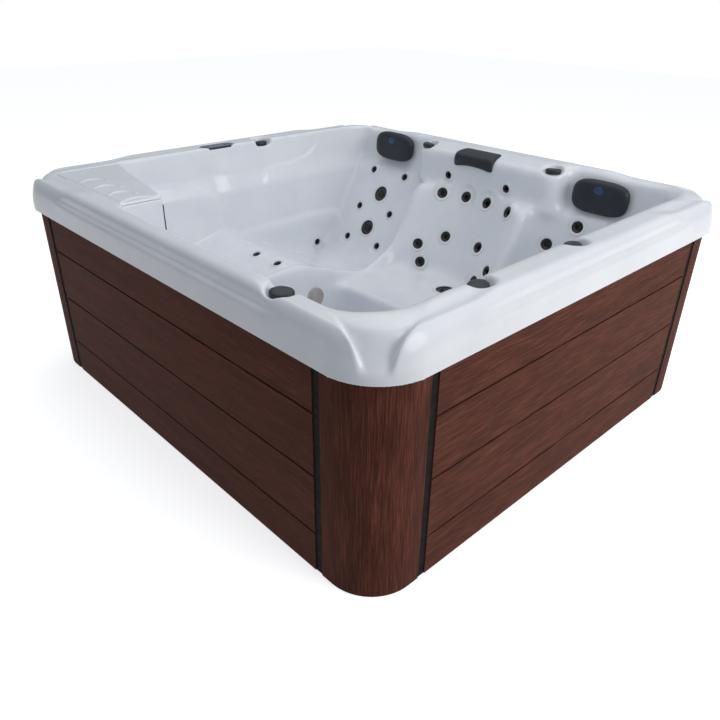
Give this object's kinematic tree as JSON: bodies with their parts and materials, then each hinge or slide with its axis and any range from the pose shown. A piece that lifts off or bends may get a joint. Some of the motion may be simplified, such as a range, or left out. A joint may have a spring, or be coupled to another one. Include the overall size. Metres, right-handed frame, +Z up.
{
  "type": "hot tub",
  "caption": "Rectangular garden hot tub: white moulded shell with lounger, hollow seats and footwell, dark plank skirt with rounded corner posts, pillows, jets, knobs and pumps inside.",
  "frame": {"origin": "bottom centre of the tub, on the ground", "axes": "+X along the front to the right, +Y to the back where the lounger's head is, +Z up"},
  "size_m": [2.2, 2.02, 0.88],
  "materials": {
    "pan_plastic": "matt",
    "frame_wood": "rough sawn",
    "plank": "brushed grain",
    "post": "brushed grain",
    "strip": "satin",
    "acrylic": "gloss",
    "filter_paper": "pleated",
    "black_plastic": "satin",
    "steel": "brushed",
    "pillow": "soft matt",
    "panel_plastic": "gloss",
    "display": "gloss",
    "button": "matt",
    "pvc": "satin",
    "jet_ring": "gloss",
    "chrome": "polished",
    "grey_plastic": "gloss",
    "lens": "clear",
    "motor_paint": "satin",
    "impeller": "satin",
    "brass": "plain",
    "painted_lever": "gloss",
    "knob": "satin gloss"
  },
  "bodies": {
    "tub": {"base_pan": "pan_plastic", "frame_bottom_rails": "frame_wood", "frame_uprights": "frame_wood", "frame_top_rails": "frame_wood", "footwell_supports": "frame_wood", "right_planks": "plank", "back_planks": "plank", "left_planks": "plank", "corner_post_front_right": "post", "corner_post_front_left": "post", "corner_post_back_right": "post", "corner_post_back_left": "post", "edge_strips": "strip", "acrylic_shell": "acrylic", "filter_cartridges": "filter_paper", "skimmer_frame": "black_plastic", "weir_pin": "steel", "lounger_pillow": "pillow", "middle_pillow": "pillow", "corner_pillow": "pillow", "control_panel_body": "panel_plastic", "display_window": "display", "valve_bodies": "pvc", "jet_rings": "jet_ring", "jet_nozzles": "black_plastic", "jet_bodies": "pvc", "large_jet_housings": "jet_ring", "waterfall_spout": "chrome", "suction_cover": "grey_plastic", "floor_drain_cover": "grey_plastic", "led_lights": "lens", "pump_motors": "motor_paint", "pump_wet_ends": "black_plastic", "equipment_stands": "pan_plastic", "heater": "steel", "control_box": "panel_plastic", "control_box_cover": "panel_plastic", "water_pipes": "pvc", "drain_valve": "brass", "cable_gland": "black_plastic"},
    "front_panel": {"front_planks": "plank", "panel_battens": "frame_wood"},
    "lid": {"filter_lid": "acrylic"},
    "weir": {"weir_flap": "black_plastic"},
    "front_knob_body": {"front_knob": "knob"},
    "right_front_knob_body": {"right_front_knob": "knob"},
    "right_back_knob_body": {"right_back_knob": "knob"},
    "far_right_knob_body": {"far_right_knob": "knob"},
    "far_left_knob_body": {"far_left_knob": "knob"},
    "left_knob_body": {"left_knob": "knob"},
    "jets_button_body": {"jets_button": "button"},
    "light_button_body": {"light_button": "button"},
    "warmer_button_body": {"warmer_button": "button"},
    "cooler_button_body": {"cooler_button": "button"},
    "lounger_jet_upper_nozzle_body": {"lounger_jet_upper_nozzle": "black_plastic"},
    "lounger_jet_lower_nozzle_body": {"lounger_jet_lower_nozzle": "black_plastic"},
    "seat_jet_nozzle_body": {"seat_jet_nozzle": "black_plastic"},
    "impeller_1_body": {"impeller_1": "impeller"},
    "impeller_2_body": {"impeller_2": "impeller"},
    "lever": {"drain_lever": "painted_lever"}
  },
  "joints": [
    {"name": "front_panel_pull", "type": "slide", "parent": "tub", "child": "front_panel", "axis": [0, -1, 0], "range_m": [0, 0.4]},
    {"name": "filter_lid_lift", "type": "slide", "parent": "tub", "child": "lid", "axis": [0, 0, 1], "range_m": [0, 0.3]},
    {"name": "weir_swing", "type": "hinge", "parent": "tub", "child": "weir", "pos_m": [-0.47368, -0.70066, 0.68], "axis": [0.9818, -0.19, 0], "range_deg": [0, 70]},
    {"name": "front_knob_turn", "type": "hinge", "parent": "tub", "child": "front_knob_body", "pos_m": [0.664, -0.937, 0.85], "axis": [0, 0, 1], "range_deg": [-90, 90]},
    {"name": "right_front_knob_turn", "type": "hinge", "parent": "tub", "child": "right_front_knob_body", "pos_m": [0.987, -0.501, 0.85], "axis": [0, 0, 1], "range_deg": [0, 150]},
    {"name": "right_back_knob_turn", "type": "hinge", "parent": "tub", "child": "right_back_knob_body", "pos_m": [0.987, -0.009, 0.85], "axis": [0, 0, 1], "range_deg": [-90, 90]},
    {"name": "far_right_knob_turn", "type": "hinge", "parent": "tub", "child": "far_right_knob_body", "pos_m": [0.375, 0.84, 0.85], "axis": [0, 0, 1], "range_deg": [0, 150]},
    {"name": "far_left_knob_turn", "type": "hinge", "parent": "tub", "child": "far_left_knob_body", "pos_m": [-0.38, 0.84, 0.85], "axis": [0, 0, 1], "range_deg": [0, 150]},
    {"name": "left_knob_turn", "type": "hinge", "parent": "tub", "child": "left_knob_body", "pos_m": [-0.982, 0.19, 0.85], "axis": [0, 0, 1], "range_deg": [-90, 90]},
    {"name": "jets_button_press", "type": "slide", "parent": "tub", "child": "jets_button_body", "axis": [0, 0, -1], "range_m": [0, 0.0012], "stiffness_N_per_m": 800},
    {"name": "light_button_press", "type": "slide", "parent": "tub", "child": "light_button_body", "axis": [0, 0, -1], "range_m": [0, 0.0012], "stiffness_N_per_m": 800},
    {"name": "warmer_button_press", "type": "slide", "parent": "tub", "child": "warmer_button_body", "axis": [0, 0, -1], "range_m": [0, 0.0012], "stiffness_N_per_m": 800},
    {"name": "cooler_button_press", "type": "slide", "parent": "tub", "child": "cooler_button_body", "axis": [0, 0, -1], "range_m": [0, 0.0012], "stiffness_N_per_m": 800},
    {"name": "lounger_jet_upper_nozzle_spin", "type": "hinge", "parent": "tub", "child": "lounger_jet_upper_nozzle_body", "pos_m": [-0.667, 0.78021, 0.55079], "axis": [0, -0.8619, 0.5071], "continuous": true},
    {"name": "lounger_jet_lower_nozzle_spin", "type": "hinge", "parent": "tub", "child": "lounger_jet_lower_nozzle_body", "pos_m": [-0.667, 0.67673, 0.37492], "axis": [0, -0.8619, 0.5071], "continuous": true},
    {"name": "seat_jet_nozzle_spin", "type": "hinge", "parent": "tub", "child": "seat_jet_nozzle_body", "pos_m": [0.10065, 0.4685, 0.29], "axis": [0, 0, 1], "continuous": true},
    {"name": "impeller_1_spin", "type": "hinge", "parent": "tub", "child": "impeller_1_body", "pos_m": [0.62, -0.57, 0.14], "axis": [0, -1, 0], "continuous": true},
    {"name": "impeller_2_spin", "type": "hinge", "parent": "tub", "child": "impeller_2_body", "pos_m": [0.85, -0.57, 0.14], "axis": [0, -1, 0], "continuous": true},
    {"name": "drain_lever_turn", "type": "hinge", "parent": "tub", "child": "lever", "pos_m": [-1.026, 0.06, 0.118], "axis": [0, 0, 1], "range_deg": [0, 90]}
  ]
}
